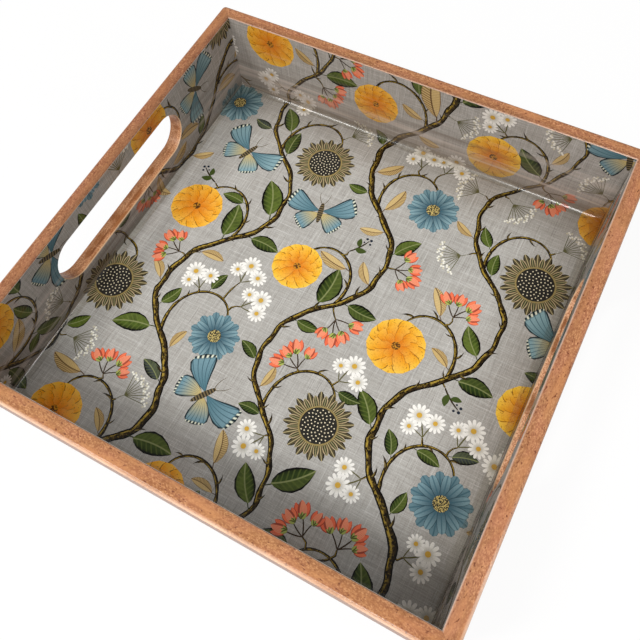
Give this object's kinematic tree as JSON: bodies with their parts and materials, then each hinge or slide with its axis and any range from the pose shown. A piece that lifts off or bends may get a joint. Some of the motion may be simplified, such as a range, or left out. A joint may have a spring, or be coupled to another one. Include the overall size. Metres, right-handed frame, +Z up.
{
  "type": "serving tray",
  "caption": "Square lacquered-wood serving tray: mitred boards with a round-ended hand slot at each side, and a printed botanical lining sealed under a clear gloss coat.",
  "frame": {"origin": "centre of the underside, on the surface the tray stands on", "axes": "+Z up out of the well; +X towards the right board and +Y towards the back board; the hand slots are in the left and right boards"},
  "size_m": [0.3, 0.3, 0.066],
  "materials": {
    "board_wood": "reddish-tan hardwood with short dark pore flecks, satin to gloss lacquer",
    "panel_board": "brown wood-fibre panel, thin sealing lacquer",
    "printed_sheet": "grey linen-look ground with printed leaves and blossoms, under gloss lacquer",
    "clear_coat": "poured clear gloss coat",
    "pin_steel": "bright steel panel pins",
    "wood_filler": "coloured wood filler, sanded flush and lacquered"
  },
  "bodies": {
    "root": {"right_board": "board_wood", "back_board": "board_wood", "left_board": "board_wood", "front_board": "board_wood", "base_panel": "panel_board", "floor_print": "printed_sheet", "left_print": "printed_sheet", "right_print": "printed_sheet", "front_print": "printed_sheet", "back_print": "printed_sheet", "floor_coat": "clear_coat", "corner_pins": "pin_steel", "corner_pin_fills": "wood_filler", "base_pins": "pin_steel"}
  },
  "joints": []
}
